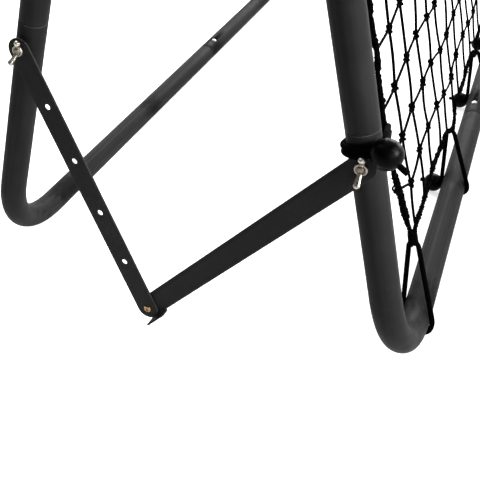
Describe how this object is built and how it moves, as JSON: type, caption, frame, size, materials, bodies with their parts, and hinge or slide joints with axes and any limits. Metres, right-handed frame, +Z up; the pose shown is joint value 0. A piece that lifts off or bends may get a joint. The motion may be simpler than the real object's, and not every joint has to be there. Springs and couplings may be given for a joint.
{
  "type": "soccer rebounder",
  "caption": "Slanted net in a bent-tube frame, held up by a hinged tube support and folding flat stays, so that a kicked ball bounces back.",
  "frame": {"origin": "centre of the bounding box at the ground", "axes": "+X along the frames from the near side to the far side, +Y from the net frame to the support frame, +Z up"},
  "size_m": [1.3664, 0.5135, 1.0068],
  "materials": {
    "tube_black": "satin powder coat",
    "stay_black": "satin powder coat",
    "zinc": "nickel plated, satin",
    "brass": "rolled",
    "plastic_black": "moulded",
    "bungee_black": "braided cord with a glossy moulded ball",
    "net_black": "knotted cord"
  },
  "bodies": {
    "net_frame": {"border_rope": "net_black", "bracket_rivet_far": "stay_black", "bracket_rivet_near": "stay_black", "hinge_bolt_far": "zinc", "hinge_bolt_near": "zinc", "hinge_bracket_far": "stay_black", "hinge_bracket_near": "stay_black", "hinge_nut_far": "zinc", "hinge_nut_near": "zinc", "net": "net_black", "net_bungee_bottom_1": "bungee_black", "net_bungee_bottom_2": "bungee_black", "net_bungee_bottom_3": "bungee_black", "net_bungee_bottom_4": "bungee_black", "net_bungee_bottom_5": "bungee_black", "net_bungee_far_1": "bungee_black", "net_bungee_far_2": "bungee_black", "net_bungee_far_3": "bungee_black", "net_bungee_near_1": "bungee_black", "net_bungee_near_2": "bungee_black", "net_bungee_near_3": "bungee_black", "net_bungee_top_1": "bungee_black", "net_bungee_top_2": "bungee_black", "net_bungee_top_3": "bungee_black", "net_bungee_top_4": "bungee_black", "net_bungee_top_5": "bungee_black", "net_lower_corner_far": "tube_black", "net_lower_corner_near": "tube_black", "net_spacer_far": "zinc", "net_spacer_near": "zinc", "net_top_corner_far": "tube_black", "net_top_corner_near": "tube_black", "net_upright_far": "tube_black", "net_upright_near": "tube_black", "net_wing_bolt_far": "zinc", "net_wing_bolt_near": "zinc"},
    "support_frame": {"support_end_cap_far": "plastic_black", "support_end_cap_near": "plastic_black", "support_lower_corner_far": "tube_black", "support_lower_corner_near": "tube_black", "support_spacer_far": "zinc", "support_spacer_near": "zinc", "support_upright_far": "tube_black", "support_upright_near": "tube_black", "support_wing_bolt_far": "zinc", "support_wing_bolt_near": "zinc"},
    "net_bottom_button": {"net_bottom_button": "zinc"},
    "net_stay_far": {"net_stay_far": "stay_black"},
    "net_stay_near": {"net_stay_near": "stay_black"},
    "net_top_button": {"net_top_button": "zinc"},
    "net_wing_nut_far": {"net_wing_nut_far": "zinc"},
    "net_wing_nut_near": {"net_wing_nut_near": "zinc"},
    "support_bottom_button": {"support_bottom_button": "zinc"},
    "support_stay_far": {"stay_rivet_far": "brass", "support_stay_far": "stay_black"},
    "support_stay_near": {"stay_rivet_near": "brass", "support_stay_near": "stay_black"},
    "support_wing_nut_far": {"support_wing_nut_far": "zinc"},
    "support_wing_nut_near": {"support_wing_nut_near": "zinc"}
  },
  "joints": [
    {"name": "fold", "type": "hinge", "parent": "net_frame", "child": "support_frame", "pos_m": [0, 0.05076, 0.85119], "axis": [1, 0, 0], "range_deg": [-18, 16]},
    {"name": "net_stay_near_pivot", "type": "hinge", "parent": "net_frame", "child": "net_stay_near", "pos_m": [-0.65, -0.16667, 0.27125], "axis": [1, 0, 0], "range_deg": [-23, 21]},
    {"name": "support_stay_near_pivot", "type": "hinge", "parent": "support_frame", "child": "support_stay_near", "pos_m": [-0.65, 0.17509, 0.30695], "axis": [1, 0, 0], "range_deg": [-31, 34]},
    {"name": "net_stay_far_pivot", "type": "hinge", "parent": "net_frame", "child": "net_stay_far", "pos_m": [0.65, -0.16667, 0.27125], "axis": [1, 0, 0], "range_deg": [-23, 21]},
    {"name": "support_stay_far_pivot", "type": "hinge", "parent": "support_frame", "child": "support_stay_far", "pos_m": [0.65, 0.17509, 0.30695], "axis": [1, 0, 0], "range_deg": [-31, 34]},
    {"name": "net_wing_nut_near_turn", "type": "hinge", "parent": "net_frame", "child": "net_wing_nut_near", "pos_m": [-0.65, -0.16667, 0.27125], "axis": [1, 0, 0], "continuous": true},
    {"name": "net_wing_nut_far_turn", "type": "hinge", "parent": "net_frame", "child": "net_wing_nut_far", "pos_m": [0.65, -0.16667, 0.27125], "axis": [1, 0, 0], "continuous": true},
    {"name": "support_wing_nut_near_turn", "type": "hinge", "parent": "support_frame", "child": "support_wing_nut_near", "pos_m": [-0.65, 0.17509, 0.30695], "axis": [1, 0, 0], "continuous": true},
    {"name": "support_wing_nut_far_turn", "type": "hinge", "parent": "support_frame", "child": "support_wing_nut_far", "pos_m": [0.65, 0.17509, 0.30695], "axis": [1, 0, 0], "continuous": true},
    {"name": "net_bottom_button_press", "type": "slide", "parent": "net_frame", "child": "net_bottom_button", "axis": [0, -0.2681, -0.9634], "range_m": [0, 0.0036], "stiffness_N_per_m": 1500, "springref_m": -0.002},
    {"name": "net_top_button_press", "type": "slide", "parent": "net_frame", "child": "net_top_button", "axis": [0, 0.2681, 0.9634], "range_m": [0, 0.0036], "stiffness_N_per_m": 1500, "springref_m": -0.002},
    {"name": "support_bottom_button_press", "type": "slide", "parent": "support_frame", "child": "support_bottom_button", "axis": [0, 0.2227, -0.9749], "range_m": [0, 0.0036], "stiffness_N_per_m": 1500, "springref_m": -0.002}
  ],
  "couplings": [
    {"joint": "net_stay_near_pivot", "follows": "fold", "ratio": 1.2218},
    {"joint": "support_stay_near_pivot", "follows": "fold", "ratio": -1.8311},
    {"joint": "net_stay_far_pivot", "follows": "fold", "ratio": 1.2218},
    {"joint": "support_stay_far_pivot", "follows": "fold", "ratio": -1.8311}
  ]
}
